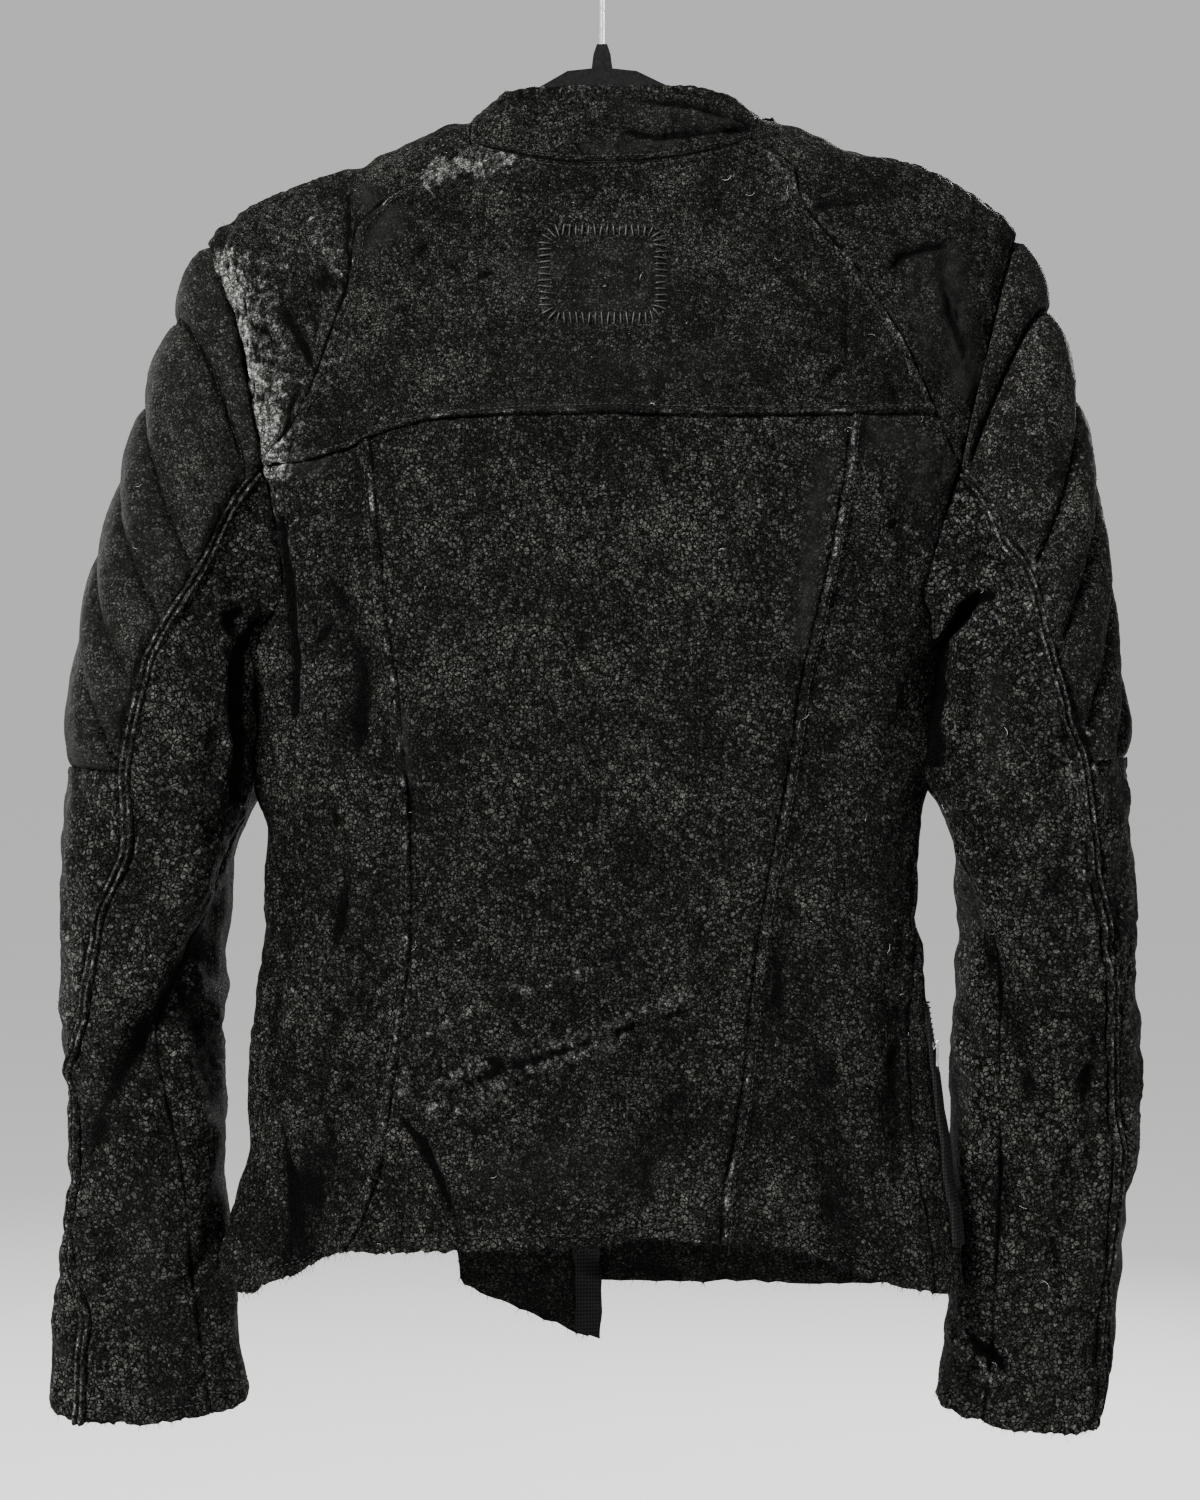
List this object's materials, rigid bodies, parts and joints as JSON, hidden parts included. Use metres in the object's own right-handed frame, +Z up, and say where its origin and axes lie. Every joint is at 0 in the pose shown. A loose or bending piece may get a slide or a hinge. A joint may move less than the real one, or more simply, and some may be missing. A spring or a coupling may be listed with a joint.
{
  "type": "leather jacket on a hanger",
  "caption": "Worn slim leather jacket with a stand collar, quilted shoulder pads and a zip front, hanging from a slim plastic hanger by its steel hook.",
  "frame": {"origin": "the seat of the hanger's hook, where the wire rests on its rail", "axes": "+Z up, the back of the jacket faces -Y and its zip front +Y, so +X is the wearer's right"},
  "size_m": [0.6365, 0.1181, 0.884],
  "materials": {
    "leather": "worn, cracked, low sheen with rubbed pale edges",
    "quilted_leather": "quilted over wadding, smooth, low sheen",
    "zip_tape": "woven polyester tape",
    "nickel": "nickel plated, worn",
    "steel_wire": "bright drawn wire",
    "hanger_plastic": "flocked black"
  },
  "bodies": {
    "jacket_on_hanger": {"collar": "leather", "collar_tip": "leather", "back_yoke": "leather", "shoulder_left": "leather", "shoulder_right": "leather", "back_centre": "leather", "back_side_left": "leather", "back_side_right": "leather", "front_left": "leather", "front_right": "leather", "sleeve_left_outer": "leather", "sleeve_left_back": "leather", "sleeve_left_under": "leather", "sleeve_left_piping": "leather", "sleeve_right_outer": "leather", "sleeve_right_back": "leather", "sleeve_right_under": "leather", "sleeve_right_piping": "leather", "sleeve_left_pad": "quilted_leather", "sleeve_right_pad": "quilted_leather", "zip_tape_left": "zip_tape", "zip_tape_right": "zip_tape", "pocket_zip_left": "zip_tape", "pocket_zip_right": "zip_tape", "front_zip_slider": "nickel", "pocket_left_slider": "nickel", "pocket_right_slider": "nickel", "hanger_body": "hanger_plastic", "hanger_hook": "steel_wire"},
    "front_pull": {"front_zip_pull": "nickel"},
    "left_pocket_pull": {"pocket_left_pull": "nickel"},
    "right_pocket_pull": {"pocket_right_pull": "nickel"}
  },
  "joints": [
    {"name": "front_pull_hinge", "type": "hinge", "parent": "jacket_on_hanger", "child": "front_pull", "pos_m": [-0.037, 0.0578, -0.7775], "axis": [1, 0, 0], "range_deg": [0, 150]},
    {"name": "left_pocket_pull_hinge", "type": "hinge", "parent": "jacket_on_hanger", "child": "left_pocket_pull", "pos_m": [-0.19994, 0.02485, -0.65108], "axis": [0.7163, 0.6978, 0], "range_deg": [0, 150]},
    {"name": "right_pocket_pull_hinge", "type": "hinge", "parent": "jacket_on_hanger", "child": "right_pocket_pull", "pos_m": [0.19298, -0.00861, -0.65011], "axis": [-0.1933, -0.9811, 0], "range_deg": [0, 150]}
  ]
}
